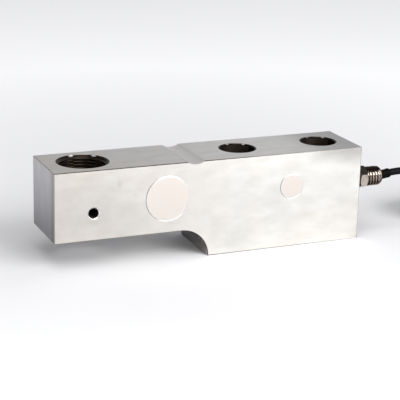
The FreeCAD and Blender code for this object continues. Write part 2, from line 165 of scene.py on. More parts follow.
# %% [markdown]
# ## Patterns, masks and paint
# A finish is built as a painter would build it: a pattern gives the base its life, and further
# colours go on top, each only where it belongs. A mask says where: 1 inside, 0 outside, and a
# short way between them. Four shapes of mask are enough for this object: past a place along an
# axis, inside a cylinder, in a ring, and in a soft oval spot. They use the object's own
# coordinates, or the direction that a surface faces, so they stay on the piece from every side.


# %% A pattern of soft patches
def cloud(tree, place, size_mm, stretch=(1, 1, 1), detail=2.0):
    """A soft pattern from 0 to 1, in patches of the given size."""
    scaled = add_node(tree, "Mapping", {"Scale": [1000 / (size_mm * s) for s in stretch]},
                      {"Vector": place})
    noise = add_node(tree, "TexNoise", {"Scale": 1.0, "Detail": detail},
                     {"Vector": scaled.outputs["Vector"]})
    return add_node(tree, "MapRange", {"From Min": 0.3, "From Max": 0.7},
                    {"Value": noise.outputs[0]}).outputs[0]


# %% The four shapes of mask, and how masks are joined
endless = 1e6


def past(tree, place, axis, start, end, most=1.0):
    """0 up to the start and most from the end on, along X, Y or Z of a place or a direction."""
    apart = add_node(tree, "SeparateXYZ", links={0: place})
    return add_node(tree, "MapRange", {"From Min": start, "From Max": end, "To Max": most},
                    {"Value": apart.outputs[axis]}).outputs[0]


def inside(tree, place, centre_mm, axes, radius_mm, soft_mm):
    """1 inside a cylinder, 0 outside. The axis it runs along has a 0 in axes, the others a 1."""
    shift = [-at * kept * mm for at, kept in zip(centre_mm, axes)]
    moved = add_node(tree, "Mapping", {"Location": shift, "Scale": axes}, {"Vector": place})
    away = add_node(tree, "VectorMath", {"operation": "LENGTH"}, {0: moved.outputs[0]})
    return add_node(tree, "MapRange",
                    {"From Min": radius_mm * mm, "From Max": (radius_mm - soft_mm) * mm},
                    {"Value": away.outputs["Value"]}).outputs[0]


def ring(tree, place, centre_mm, axes, inner_mm, outer_mm, soft_mm=0.1):
    """1 between two radii about the same kind of axis."""
    within = [inside(tree, place, centre_mm, axes, r, soft_mm) for r in (outer_mm, inner_mm)]
    return add_node(tree, "Math", {"operation": "SUBTRACT"}, {0: within[0], 1: within[1]}).outputs[0]


def spot(tree, place, centre_mm, size_mm, turn=0.0, core=0.0, share=1.0, fade="LINEAR"):
    """A soft oval: 0 from its rim outward, and the given share in its core."""
    moved = add_node(tree, "Mapping", {"vector_type": "TEXTURE", "Rotation": (0, 0, turn),
                                       "Location": [at * mm for at in centre_mm],
                                       "Scale": [size * mm for size in size_mm]}, {"Vector": place})
    away = add_node(tree, "VectorMath", {"operation": "LENGTH"}, {0: moved.outputs[0]})
    return add_node(tree, "MapRange", {"interpolation_type": fade, "From Min": 1.0,
                                       "From Max": core, "To Max": share},
                    {"Value": away.outputs["Value"]}).outputs[0]


def join(tree, operation, *masks):
    """One mask from several: MULTIPLY where all of them hold, MAXIMUM where any does."""
    joined = masks[0]
    for mask in masks[1:]:
        joined = add_node(tree, "Math", {"operation": operation}, {0: joined, 1: mask}).outputs[0]
    return joined


# %% Paint, and what a shader is given in the end
def paint(tree, tone, layers, how="MIX"):
    """Lay colours over a tone, each as far as its mask says. A colour is hex or another tone."""
    for mask, colour in layers:
        settings, links = {"data_type": "RGBA", "blend_type": how}, {}
        for socket, value in ((0, mask), (6, tone), (7, colour)):
            if isinstance(value, str):
                settings[socket] = linear(value)
            elif isinstance(value, float):
                settings[socket] = value
            else:
                links[socket] = value
        tone = add_node(tree, "Mix", settings, links).outputs[2]
    return tone


def give_surface(tree, shader, tone, pattern, smooth, rough, relief, depth_mm):
    """Give a shader its tone, a roughness that follows a pattern, and a raised relief."""
    tree.links.new(tone, shader.inputs["Base Color"])
    add_node(tree, "Bump", {"Strength": 1.0, "Distance": depth_mm * mm}, {"Height": relief},
             shader.inputs["Normal"])
    roughness = add_node(tree, "MapRange", {"To Min": smooth, "To Max": rough}, {"Value": pattern},
                         shader.inputs["Roughness"])
    return roughness.outputs[0]


# %% [markdown]
# ## The steel of the beam
# The beam is tool steel. It is milled and ground square, drilled, and then nickel plated without
# current, which leaves a satin skin a little warmer than bare steel. The eye sees soft cloudy
# patches where the plating took unevenly, faint smears from wiping, and, close up, the streaks of
# the grinding. Real grinding lines are about 0.05 mm apart, too fine for this picture, so they are
# drawn 0.6 mm apart. The skin is painted darker and warmer at the free end and lighter at the
# block, as painted shade and painted light from a lamp on the right.
#
# The faces were ground along the beam, but the two ends were milled across. The direction that a
# surface faces tells the two apart.

# %% The two tones of the plating, and lines along the beam or upright on its ends
steel_dark = "#DEDDDA"
steel_light = "#E6E2DD"
grinding_line_mm = 0.6
streak_length = 40.0
end_roughness = 0.2
# Painted shade and light along the beam: full shade up to the first place, full light from the second.
shade_full_until_x = -148.0
light_full_from_x = -20.0
# The painted shade on the ends deepens downward between these two heights.
shade_top_z = 55.0
shade_bottom_z = 15.0
strip_y = (-12.0, -18.0)
print("grinding lines are drawn", grinding_line_mm, "mm apart and", grinding_line_mm * streak_length,
      "mm long")


def faces_end(tree, facing):
    """1 on the two ends of the beam, 0 elsewhere."""
    sideways = add_node(tree, "SeparateXYZ", links={0: facing}).outputs["X"]
    amount = add_node(tree, "Math", {"operation": "ABSOLUTE"}, {0: sideways}).outputs[0]
    return add_node(tree, "Math", {"operation": "GREATER_THAN", 1: 0.9}, {0: amount}).outputs[0]


def along_or_upright(tree, place, at_end, width_mm):
    """Coordinates of lines that run along the beam, or upright on its two ends."""
    narrow = 1000 / width_mm
    drawn_out = narrow / streak_length
    along = add_node(tree, "Mapping", {"Scale": (drawn_out, narrow, narrow)}, {"Vector": place})
    upright = add_node(tree, "Mapping", {"Scale": (narrow, narrow, drawn_out)}, {"Vector": place})
    return add_node(tree, "Mix", {"data_type": "VECTOR"},
                    {0: at_end, 4: along.outputs[0], 5: upright.outputs[0]}).outputs[1]


# %% [markdown]
# ## Painted shade in the holes
# Plating hardly reaches the walls of deep holes, and cutting oil stays in them, so they are brown.
# They are painted nearly black as painted shade, and darker still on the slanting mouths, also as
# painted shade. The hole of the lock screw is the narrowest, and is painted the blackest, as
# painted shade. A material of its own could carry this, but the holes belong to the one solid of
# the beam, so masks pick them out.

# %% The walls of the holes
lock_screw_r = 3.0
lock_lip_r = 4.2
just_inside = 0.1


def hole_wall(tree, place, centre_x, radius):
    """The wall of an upright hole, with its slanting mouth."""
    shaft = inside(tree, place, (centre_x, 0, 0), (1, 1, 0), radius + mouth - just_inside, 0.02)
    below_top = past(tree, place, "Z", (block_height + 0.05) * mm, (block_height - just_inside) * mm)
    return join(tree, "MULTIPLY", shaft, below_top)


def shaded_wall_layers(tree, place):
    """The paint for the walls of the upright holes and their mouths: brown, darkened as painted shade.
    """
    drilled = join(tree, "MAXIMUM",
                   *[hole_wall(tree, place, x, mounting_hole_r) for x in mounting_hole_xs])
    tapped = hole_wall(tree, place, load_hole_x, load_hole_r)
    mouth_bottom = block_height - mouth
    slanting = past(tree, place, "Z", (mouth_bottom - 0.1) * mm, (mouth_bottom + 0.05) * mm)
    mouths = join(tree, "MULTIPLY", join(tree, "MAXIMUM", drilled, tapped), slanting)
    return [(drilled, "#6B6057"), (tapped, "#3C352F"), (mouths, "#2A2521")]


def lock_hole(tree, place):
    """The masks for the lock screw hole: its wall, painted nearly black as painted shade, and the lip
    of its countersink, painted bright as a painted highlight.
    """
    centre, axes = (load_hole_x, 0, lock_screw_z), (1, 0, 1)
    sunk = join(tree, "MULTIPLY",
                past(tree, place, "Y", (-half_width + 0.03) * mm, (-half_width + 0.08) * mm),
                past(tree, place, "Y", 1 * mm, 0))
    wall_r = lock_screw_r + 0.15
    wall = join(tree, "MULTIPLY", sunk, inside(tree, place, centre, axes, wall_r, 0.1))
    lip = join(tree, "MULTIPLY", sunk, ring(tree, place, centre, axes, wall_r, lock_lip_r))
    return wall, lip


# %% [markdown]
# ## Painted highlights
# In a few small places a painted highlight makes the metal bright: the lip of the lock screw hole's
# countersink, two glints on the mouth of each upright hole, and the narrow weld round each cover.
# The weld is painted grey as painted shade where it ends, on the side of each disc that lies
# towards the free end.

# %% Painted glints, and the welds round the covers
# For each upright hole: its place, its radius, and how bright its painted glints are.
glint_holes = ((load_hole_x, load_hole_r, 1.0), (mounting_hole_xs[0], mounting_hole_r, 0.5),
              (mounting_hole_xs[1], mounting_hole_r, 0.3))
glint_degrees = (99, 46)
glint_half_width = 0.65
glint_reach = 0.12
bead_core = 0.18
bead_edge = 0.28
covers = ((gauge_x, gauge_cover_r), (wiring_x, wiring_cover_r))


def painted_glints(tree, place):
    """Two painted glints on the slanting mouth of each upright hole."""
    spots = []
    for x, radius, share in glint_holes:
        middle_r = radius + mouth / 2
        for degrees in glint_degrees:
            turn = math.radians(degrees)
            centre = (x + middle_r * math.cos(turn), middle_r * math.sin(turn),
                      block_height - mouth / 2)
            size = (glint_half_width, glint_reach * middle_r, glint_half_width)
            spots.append(spot(tree, place, centre, size, turn, 0.6, share))
    return join(tree, "MAXIMUM", *spots)


def welds(tree, place):
    """The narrow rings of weld. The large cover is on both sides, the small one in front."""
    front = past(tree, place, "Y", (-half_width + 0.5) * mm, (-half_width + 0.4) * mm)
    rear = past(tree, place, "Y", (half_width - 0.5) * mm, (half_width - 0.4) * mm)
    beads = []
    for (x, radius), side in zip(covers, (join(tree, "MAXIMUM", front, rear), front)):
        bead = ring(tree, place, (x, 0, cover_z), (1, 0, 1), radius - bead_core, radius + bead_edge)
        beads.append(join(tree, "MULTIPLY", side, bead))
    return join(tree, "MAXIMUM", *beads)


def weld_highlight_tone(tree, place):
    """A painted highlight, bright, with painted shade in grey where the weld ends, towards the free
    end.
    """
    shaded_side = []
    for x, radius in covers:
        begins = past(tree, place, "X", (x - 0.3 * radius) * mm, (x - 0.9 * radius) * mm)
        stops = past(tree, place, "X", (x - 1.2 * radius) * mm, (x - 1.1 * radius) * mm)
        shaded_side.append(join(tree, "MULTIPLY", begins, stops))
    return paint(tree, "#FBF9F6", [(join(tree, "MAXIMUM", *shaded_side), "#C3C0BC")])


# %% [markdown]
# ## Edges, the groove and grey patches
# The edges were broken with a file and never ground, and they are painted dark as a painted
# reflection of the dark ceiling. The long top edges grow clearer over the block, and the short ones
# at the free end are only faintly dark. A shallow groove runs across the top, with a line of
# painted shade on each of its lips. A few soft grey patches lie on the front, most of them near the
# top of the block.

# %% Painted dark edges, shaded lips and grey patches
# For each lip of the groove: its place, half its width, and how dark its painted shade is.
shaded_lips = ((groove_x - groove_half, 0.4, 1.0), (groove_x + groove_half - 0.9, 2.2, 0.2))
# For each grey patch: its place along the beam, its height, its two radii, and how dark it is.
grey_patches = ((28, 59, 24, 10, 0.36), (46, 58, 20, 14, 0.44), (-112.3, 50.1, 2.6, 3.6, 0.16),
           (-102.6, 43.0, 2.2, 2.2, 0.1), (-20, 57, 9, 3, 0.1))
edge_dark_x = -60.0
edge_clear_x = 60.0


def edges_painted_dark(tree, place, facing):
    """The filed edges, painted dark as a painted reflection of the dark ceiling: dark along the top,
    less so towards the block, faint at the free end.
    """
    leaning, off_middle = [add_node(tree, "VectorMath", {"operation": "ABSOLUTE"}, {0: way}).outputs[0]
                           for way in (facing, place)]
    leans = {axis: past(tree, leaning, axis, 0.3, 0.5) for axis in "XYZ"}
    at_side = past(tree, off_middle, "Y", (half_width - 1.5) * mm, (half_width - 1) * mm)
    free_side = past(tree, place, "X", edge_clear_x * mm, edge_dark_x * mm)
    long_edges = join(tree, "MULTIPLY", leans["Z"], leans["Y"], at_side, free_side)
    free_end = past(tree, place, "X", (beam_start + 6) * mm, (beam_start + 5) * mm, most=0.45)
    cable_end = past(tree, place, "X", (beam_end - 2.5) * mm, (beam_end - 1.5) * mm)
    short_edges = join(tree, "MULTIPLY", leans["X"], join(tree, "MAXIMUM", leans["Z"], leans["Y"]),
                       join(tree, "MAXIMUM", free_end, cable_end))
    return join(tree, "MAXIMUM", long_edges, short_edges)


def shaded_groove_lips(tree, place):
    """The painted shade on the two lips of the groove across the top."""
    # Each lip gets a line of painted shade.
    lines = [spot(tree, place, (x, 0, 0), (half, endless, endless), core=0.3, share=share)
             for x, half, share in shaded_lips]
    near_top = past(tree, place, "Z", (block_height - 1.2) * mm, (block_height - 0.4) * mm)
    return join(tree, "MULTIPLY", join(tree, "MAXIMUM", *lines), near_top)


def grey_patch_layers(tree, place):
    """The paint for the grey patches. A patch reaches through the beam, to the rear side too."""
    return [(spot(tree, place, (x, 0, z), (wide, endless, tall), share=share, fade="SMOOTHSTEP"),
             "#6E6B68") for x, z, wide, tall, share in grey_patches]


# %% [markdown]
# ## The round corner under the arm
# The corner between the arm and the block was milled with a coarse cutter. Its colour is painted
# shade: dark where it faces down, under the arm, lighter where it turns upright, and darker again
# towards the rear. Its shine at a low angle is also darkened as painted shade where it faces down:
# the shader's specular tint does that, so the mask gives a tint as well.


# %% The painted shade of the round corner
def round_corner_shade(tree, place, facing):
    """The painted shade of the round corner: its tone, how far it applies, and its darker tint at a low
    angle.
    """
    below_arm = past(tree, place, "Z", (arm_bottom + 0.1) * mm, (arm_bottom - 0.1) * mm)
    there = join(tree, "MULTIPLY", below_arm, past(tree, facing, "X", -0.02, -0.1))
    upright = past(tree, facing, "X", -0.7, -1.0)
    rearward = past(tree, place, "Y", -half_width * mm, 18 * mm, most=0.85)
    tone = paint(tree, "#34312E", [(upright, "#DEDBD7"), (rearward, "#2A2725")])
    facing_down = join(tree, "MULTIPLY", there, past(tree, facing, "X", -0.85, -0.68))
    return tone, there, paint(tree, "#FFFFFF", [(facing_down, "#55524E")])


# %% [markdown]
# ## The steel, put together
# The base is two tones of plating in patches about 30 mm wide, painted darker towards the free
# end and lighter over the block as painted shade and light. The ends get a darker tone in upright
# bands, their milled lines with painted shade over them: it deepens downward, as painted shade, and
# is warmer in a strip beside the front edge. Then comes the painted shade of the round corner, the
# lips and edges, and the walls of the holes. The painted highlights are last, over everything else.


# %% Nickel plated steel
def nickel_plated_steel():
    """Milled, ground and plated steel, with cloudy patches and faint grinding lines."""
    material, tree, shader, place = start_material("nickel plated steel, ground", 1.0, 0.36)
    facing = add_node(tree, "TexCoord").outputs["Normal"]
    at_end = faces_end(tree, facing)
    uneven = cloud(tree, place, 30.0, detail=4.0)
    wiped = paint(tree, "#FFFFFF", [(cloud(tree, place, 6.0, (2, 1, 1), 4.0), "#F3F2F0")])
    tone = paint(tree, steel_dark, [(uneven, steel_light)])
    tone = paint(tree, tone, [(1.0, wiped)], "MULTIPLY")
    # Painted shade and light: darker and warmer towards the free end, lighter over the block.
    painted_light_drift = add_node(tree, "Mix", {"data_type": "VECTOR", 4: (0.88, 0.86, 0.84), 5: (1.12, 1.13, 1.13)},
                     {0: past(tree, place, "X", shade_full_until_x * mm, light_full_from_x * mm)})
    tone = add_node(tree, "VectorMath", {"operation": "MULTIPLY"},
                    {0: tone, 1: painted_light_drift.outputs[1]}).outputs[0]
    # Painted shade: the ends are darker, and darker still lower down, over their upright milled bands.
    shaded_end_bands = paint(tree, "#99979A", [(cloud(tree, place, 4.0, (1, 1, 12), 3.0), "#ABA9AC")])
    painted_shade_low = past(tree, place, "Z", shade_top_z * mm, shade_bottom_z * mm)
    warm_strip = past(tree, place, "Y", strip_y[0] * mm, strip_y[1] * mm)
    shaded_end_tone = paint(tree, shaded_end_bands, [(painted_shade_low, "#A3A0A5"), (warm_strip, "#D2C8C5")], "MULTIPLY")
    corner_shade_tone, at_corner, corner_shade_tint = round_corner_shade(tree, place, facing)
    lock_wall_shade, lock_lip_highlight = lock_hole(tree, place)
    # Painted highlights: the lip of the lock screw hole, the welds and the glints get the bright tone.
    painted_highlights = join(tree, "MAXIMUM", lock_lip_highlight, welds(tree, place), painted_glints(tree, place))
    marks = grey_patch_layers(tree, place)
    # Painted reflection: the filed edges are painted dark, for the dark ceiling that they mirror.
    marks += [(at_end, shaded_end_tone), (at_corner, corner_shade_tone), (shaded_groove_lips(tree, place), "#B4B2B1"),
              (edges_painted_dark(tree, place, facing), "#4C4640")]
    # Painted shade in the holes and on their mouths.
    marks += shaded_wall_layers(tree, place)
    # Painted shade: the lock screw hole's wall is painted nearly black.
    marks += [(lock_wall_shade, "#15120F"), (painted_highlights, weld_highlight_tone(tree, place))]
    grinding = add_node(tree, "TexNoise", {"Scale": 1.0, "Detail": 3.0, "Roughness": 0.6},
                        {"Vector": along_or_upright(tree, place, at_end, grinding_line_mm)})
    ground = give_surface(tree, shader, paint(tree, tone, marks), uneven, 0.34, 0.42,
                          grinding.outputs[0], 0.002)
    add_node(tree, "Mix", {"data_type": "FLOAT", 3: end_roughness}, {0: at_end, 2: ground},
             shader.inputs["Roughness"])
    # Painted shade in the shine: the specular tint darkens the corner where it faces down.
    tree.links.new(corner_shade_tint, shader.inputs["Specular Tint"])
    return material


# %% [markdown]
# ## The covers
# Each cover is a thin disc of stainless steel, laser welded into its recess. A stainless disc
# beside a nickel plated beam looks slightly cream coloured. It was faced on a lathe, so its lines
# are rings about its own centre: the distance from that centre drives a fine wave. Its rim takes
# the weld's painted highlight, with painted shade where the weld ends, and a narrow ring just
# inside that is a neutral grey.

# %% Stainless steel, faced
facing_line_mm = 0.5


def faced_stainless(centre_x, radius):
    """A disc with fine rings about its centre, which lies at the given place along the beam."""
    material, tree, shader, place = start_material("stainless steel, faced", 1.0, 0.38)
    centre, axes = (centre_x, 0, cover_z), (1, 0, 1)
    uneven = cloud(tree, place, 12.0)
    skin = paint(tree, "#E8DED6", [(uneven, "#E5DFD8")])
    neutral_ring = paint(tree, "#E6E4E2", [(inside(tree, place, centre, axes, radius - 0.7, 0.4), skin)])
    # Painted highlight on the rim, from the weld's tone.
    tone = paint(tree, weld_highlight_tone(tree, place),
                 [(inside(tree, place, centre, axes, radius - 0.14, 0.14), neutral_ring)])
    moved = add_node(tree, "Mapping", {"Location": (-centre_x * mm, 0, -cover_z * mm), "Scale": axes},
                     {"Vector": place})
    rings = add_node(tree, "TexWave", {"wave_type": "RINGS", "rings_direction": "SPHERICAL",
                                       "Scale": 1000 / facing_line_mm / math.tau, "Distortion": 0.4},
                     {"Vector": moved.outputs[0]})
    give_surface(tree, shader, tone, uneven, 0.34, 0.42, rings.outputs["Fac"], 0.004)
    return material


# %% [markdown]
# ## The gland's metal
# The gland is brass, turned on a lathe and nickel plated. It is smoother than the beam and shows
# a warm tone where the plating is thin. Its patches are small, because the piece is. The grooves
# of its thread are painted dark brown as painted shade: how far a point lies from the gland's axis
# tells a groove from a crest. The thread also carries painted shade, browner below and darkest on
# top, and the band between them has lighter grooves, as a painted highlight.


# %% Nickel plated brass
def nickel_plated_brass():
    """Bright turned brass under nickel, warmer in small patches, with painted shade and a painted
    highlight on its thread.
    """
    material, tree, shader, place = start_material("nickel plated brass, turned", 1.0, 0.2)
    middle = gland_axis.z
    uneven = cloud(tree, place, 3.0, detail=3.0)
    skin = paint(tree, "#C2BAB2", [(uneven, "#AFA090")])
    # Painted shade: the thread is browner below the axis and darkest on top.
    lower = past(tree, place, "Z", (middle + 1.5) * mm, (middle - 2.5) * mm)
    upper = past(tree, place, "Z", (middle + 3.6) * mm, (middle + 4.6) * mm)
    shaded_crests = paint(tree, "#B8AEA6", [(lower, "#7F7163"), (upper, "#453D36")])
    # Painted highlight: a band between them gets lighter grooves.
    highlight_band = join(tree, "MULTIPLY", past(tree, place, "Z", (middle + 0.8) * mm, (middle + 1.8) * mm),
                  past(tree, place, "Z", (middle + 4.4) * mm, (middle + 3.8) * mm))
    groove_shade = paint(tree, "#463B31", [(highlight_band, "#7A6D62")])
    on_thread = past(tree, place, "X", hexagon_end * mm, (hexagon_end + 0.2) * mm)
    in_groove = join(tree, "MULTIPLY", inside(tree, place, gland_axis, (0, 1, 1), 6.1, 0.5), on_thread)
    tone = paint(tree, skin, [(on_thread, shaded_crests), (in_groove, groove_shade)])
    turning_lines = cloud(tree, place, 0.3, (1, 8, 8))
    give_surface(tree, shader, tone, uneven, 0.1, 0.18, turning_lines, 0.003)
    return material


# %% [markdown]
# ## Rubber, plastic and wire
# The rest is moulded, extruded or shrunk plastic. What tells these apart is how dark they are,
# how much they shine, and how large the faint unevenness of their skin is. One function makes
# them all from those facts, and each line below says what the real material is.

# %% Plain moulded and drawn materials
roughness_spread = 0.06


def plain_finish(name, dark_hex, light_hex, patch_mm, roughness, grain_mm, grain_depth_mm,
                 stretch=(1, 1, 1), metallic=0.0, ior=1.5, shine=0.5):
    """Two close tones in patches, a roughness that follows them, and a fine raised grain."""
    material, tree, shader, place = start_material(name, metallic, roughness, ior)
    shader.inputs["Specular IOR Level"].default_value = shine
    uneven = cloud(tree, place, patch_mm)
    tone = paint(tree, dark_hex, [(uneven, light_hex)])
    give_surface(tree, shader, tone, uneven, roughness - roughness_spread,
                 roughness + roughness_spread, cloud(tree, place, grain_mm, stretch), grain_depth_mm)
    return material


finishes = {
    "machined_steel": nickel_plated_steel(),
    "gland_metal": nickel_plated_brass(),
    "rubber": plain_finish("nitrile rubber, moulded", "#161616", "#1E1D1D", 2.0, 0.62, 0.3, 0.01,
                           ior=1.52, shine=0.25),
    "shrunk_sleeve": plain_finish("polyolefin, heat shrunk", "#060606", "#0B0B0B", 2.5, 0.5, 0.9,
                                  0.03, ior=1.49, shine=0.04),
    "cable_jacket": plain_finish("polyurethane, extruded", "#090909", "#0F0F10", 6.0, 0.45, 0.7,
                                 0.008, ior=1.5, shine=0.08),
    "nylon": plain_finish("nylon, moulded", "#151515", "#1D1D1E", 3.0, 0.4, 0.4, 0.01, ior=1.53),
    "foil": plain_finish("constantan foil on polyimide, etched", "#B5742B", "#C98B3C", 1.5, 0.35,
                         0.25, 0.01, stretch=(1, 1, 12), metallic=0.6),
    "board": plain_finish("glass-fibre laminate, drilled", "#1E5B36", "#276B41", 1.2, 0.4, 0.2,
                          0.005, ior=1.55),
    "resistor": plain_finish("ceramic, dipped in epoxy", "#B9A179", "#C9B48C", 1.0, 0.3, 0.3,
                             0.005, ior=1.55),
    "wire_insulation": plain_finish("fluoropolymer, extruded", "#A5A5A2", "#B4B4B0", 2.0, 0.3, 0.4,
                                    0.003, ior=1.36),
    "lead_red": plain_finish("red vinyl, extruded", "#9A1B16", "#AE241D", 2.0, 0.34, 0.3, 0.004),
    "lead_shield": plain_finish("yellow vinyl, extruded", "#C9A227", "#D8B23A", 2.0, 0.34, 0.3,
                                0.004),
    "lead_white": plain_finish("white vinyl, extruded", "#DAD9D4", "#E6E5E1", 2.0, 0.34, 0.3, 0.004),
    "lead_black": plain_finish("black vinyl, extruded", "#151516", "#1E1E1F", 2.0, 0.34, 0.3, 0.004),
    "lead_green": plain_finish("green vinyl, extruded", "#1C6A34", "#25793F", 2.0, 0.34, 0.3, 0.004),
    "tinned_copper": plain_finish("copper, twisted and tinned", "#B9B7B2", "#CBC9C5", 0.6, 0.28,
                                  0.25, 0.05, stretch=(3, 1, 1), metallic=1.0),
}
print(len(finishes), "finishes ready")

# %% [markdown]
# ## Dressing the construction
# The record says which finish each piece has. A piece whose shape is already right only gets
# its material, put into the material slots of its object. The three covers have a material of
# their own each, because the rings of a faced disc lie about that disc's centre.


# %% Give every construction piece its finish
def dress(piece, material):
    """Put a material on an object."""
    if not piece.material_slots:
        piece.data.materials.append(material)
    for slot in piece.material_slots:
        slot.material = material


for entry in frame["record"]["subparts"]:
    node, finish_name = entry["node"], entry["material_slot"]
    if node == "wiring_cover":
        dress(parts[node], faced_stainless(wiring_x, wiring_cover_r))
    elif finish_name == "cover_steel":
        dress(parts[node], faced_stainless(gauge_x, gauge_cover_r))
    else:
        dress(parts[node], finishes[finish_name])
print("dressed", len(parts), "pieces")

# %% [markdown]
# ## A lathe for meshes
# Threads, nuts and sleeves are all round a line. The helper below lays one outline after another
# round that line and joins them into a closed skin. The outline may change with the angle, which
# is how a thread climbs and how a hexagon gets its flats.


# %% The lathe
def finish_mesh(name, points, faces, material, sharp_degrees):
    """A mesh object from points and faces, smooth apart from its sharp edges."""
    mesh = bpy.data.meshes.new(name)
    mesh.from_pydata(points, [], faces)
    mesh.polygons.foreach_set("use_smooth", [True] * len(mesh.polygons))
    mesh.set_sharp_from_angle(angle=math.radians(sharp_degrees))
    mesh.materials.append(material)
    piece = bpy.data.objects.new(name, mesh)
    bpy.context.collection.objects.link(piece)
    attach(piece, "root")
    print(name, "has", len(mesh.polygons), "faces")
    return piece


def closed_faces(lines, each):
    """Faces between neighbouring closed lines of points. The last line is joined to the first."""
    faces = []
    for line in range(lines):
        here, there = line * each, (line + 1) % lines * each
        for step in range(each):
            following = (step + 1) % each
            faces.append((here + step, here + following, there + following, there + step))
    return faces


def turned_skin(angles, outline_at, start, along, first_side):
    """Points and faces of a closed ring: an outline of (distance, radius) pairs at each angle."""
    second_side = along.cross(first_side)
    points = []
    for angle in angles:
        outward = first_side * math.cos(angle) + second_side * math.sin(angle)
        points += [(start + along * d + outward * r) * mm for d, r in outline_at(angle)]
    return points, closed_faces(len(angles), len(points) // len(angles))


def even_angles(count):
    """Evenly spaced angles round a full turn."""
    return [math.tau * step / count for step in range(count)]


# %% [markdown]
# ## The threads in the holes
# The load hole has an M30 thread with a 2 mm pitch, and the small hole in the side has an M6
# thread for the screw that locks the load bolt. A thread could be a bump in the material, but
# its edge shows at the mouth of the hole, so it is real geometry: a thin ring whose inner wall
# climbs by one pitch a turn. The countersink cuts the first turns away at an angle.


# %% The shape of a thread, and a threaded wall
thread_depth = 0.54
rows_a_turn = 10
steps_round = 120
wall_behind = 0.04


def thread_height(phase):
    """How far a thread stands up at a place in its pitch: 0 in the flat groove, 1 on the flat
    crest, and slanting flanks between them."""
    return min(1.0, max(0.0, 1.25 - 3.2 * abs(phase % 1.0 - 0.5)))


def inner_thread(name, start, along, first_side, length, major_r, pitch, chamfers):
    """A threaded wall in a hole. The chamfers are how far each end opens beyond the hole."""
    rows = int(length / pitch * rows_a_turn)
    back = major_r + wall_behind

    def outline_at(angle):
        outline = []
        for row in range(rows + 1):
            d = length * row / rows
            crest = major_r - thread_depth * pitch * thread_height(d / pitch - angle / math.tau)
            near = major_r + chamfers[0] - d
            far = major_r + chamfers[1] - (length - d)
            outline.append((d, min(back - wall_behind / 2, max(crest, near, far))))
        return outline + [(length, back), (0, back)]

    points, faces = turned_skin(even_angles(steps_round), outline_at, start, along, first_side)
    finish_mesh(name, points, faces, finishes["machined_steel"], 50.0)


# %% The threads of the load hole and of the lock screw hole
load_pitch = 2.0
lock_pitch = 1.0
lock_mouth = 0.8
lock_length = 5.2
inner_thread("load_thread", Vector((load_hole_x, 0, arm_bottom + mouth)), Vector((0, 0, 1)),
             Vector((1, 0, 0)), block_height - arm_bottom - 2 * mouth, load_hole_r, load_pitch,
             (0.0, 0.0))
inner_thread("lock_thread", Vector((load_hole_x, -half_width + lock_mouth, lock_screw_z)),
             Vector((0, 1, 0)), Vector((1, 0, 0)), lock_length, lock_screw_r, lock_pitch, (0.0, -1.0))

# %% [markdown]
# ## The cable gland
# The gland is one turned piece: a hexagon for the spanner, a short relief, and a thread for a
# flexible conduit that runs out into a domed nose. The flats of a real hexagon end in arcs,
# because the lathe first chamfers the bar to a cone. Working out where the cone meets each flat
# gives those arcs exactly. The conduit thread climbs, and its crests shrink with the dome.

# %% Sizes of the gland
spigot_start = 39.6
spigot_r = 4.95
chamber_r = 4.0
shoulder_x = nose_x - 6.0
exit_r = 2.4
flat_r = 6.5
hexagon_turn = math.radians(-25.0)
corner_r = flat_r / math.cos(math.pi / 6)
hexagon_rim_r = corner_r - 1.0
relief_r = 5.3
conduit_r = 6.2
conduit_depth = 0.8
conduit_pitch = 2.0
conduit_rows = 96
lead_in_length = 0.6
run_out_length = 1.2
dome_length = 3.0
dome_steps = 8
nose_r = 4.1
thread_end = nose_x - 1.7
edge_break = 0.3
print("the hexagon measures", round(2 * corner_r, 2), "mm across its corners")


# %% Build the gland
def hexagon_column(angle):
    """The outline of the hexagon at one angle, from its back face to its front face."""
    side_angle = (angle - hexagon_turn) % (math.pi / 3) - math.pi / 6
    edge_r = flat_r / math.cos(side_angle)
    cut = max(0.0, edge_r - hexagon_rim_r)
    rim = min(edge_r, hexagon_rim_r)
    return [(hexagon_start, rim), (hexagon_start + cut, edge_r), (hexagon_end - cut, edge_r),
            (hexagon_end, rim)]


def dome_r(x):
    """The largest radius at a place along the barrel: straight, then a quarter ellipse."""
    share = min(1.0, max(0.0, (x - nose_x + dome_length) / dome_length))
    return nose_r + (conduit_r - nose_r) * math.sqrt(1 - share ** 2)


def conduit_column(angle):
    """The outline of the conduit thread and the dome at one angle."""
    outline = []
    for row in range(conduit_rows + 1):
        x = thread_start + (thread_end - thread_start) * row / conduit_rows
        begun = min(1.0, (x - thread_start) / lead_in_length)
        height = thread_height((x - thread_start) / conduit_pitch - angle / math.tau) * begun
        run_out = min(1.0, (thread_end - x) / run_out_length)
        groove = conduit_depth * (1 - height) * run_out
        outline.append((x, dome_r(x) - max(groove, conduit_depth * (1 - begun))))
    for step in range(1, dome_steps + 1):
        x = thread_end + (nose_x - thread_end) * math.sin(math.pi / 2 * step / dome_steps)
        outline.append((x, dome_r(x)))
    return outline


def gland_column(angle):
    """The whole outline of the gland at one angle, outside and then back through its bore."""
    return ([(spigot_start, chamber_r), (spigot_start, spigot_r), (hexagon_start, spigot_r)]
            + hexagon_column(angle)
            + [(hexagon_end, spigot_r + 0.1), (hexagon_end + edge_break, relief_r),
               (thread_start, relief_r)]
            + conduit_column(angle)
            + [(nose_x, exit_r + edge_break), (nose_x - edge_break, exit_r),
               (shoulder_x + 1.0, exit_r), (shoulder_x, chamber_r)])


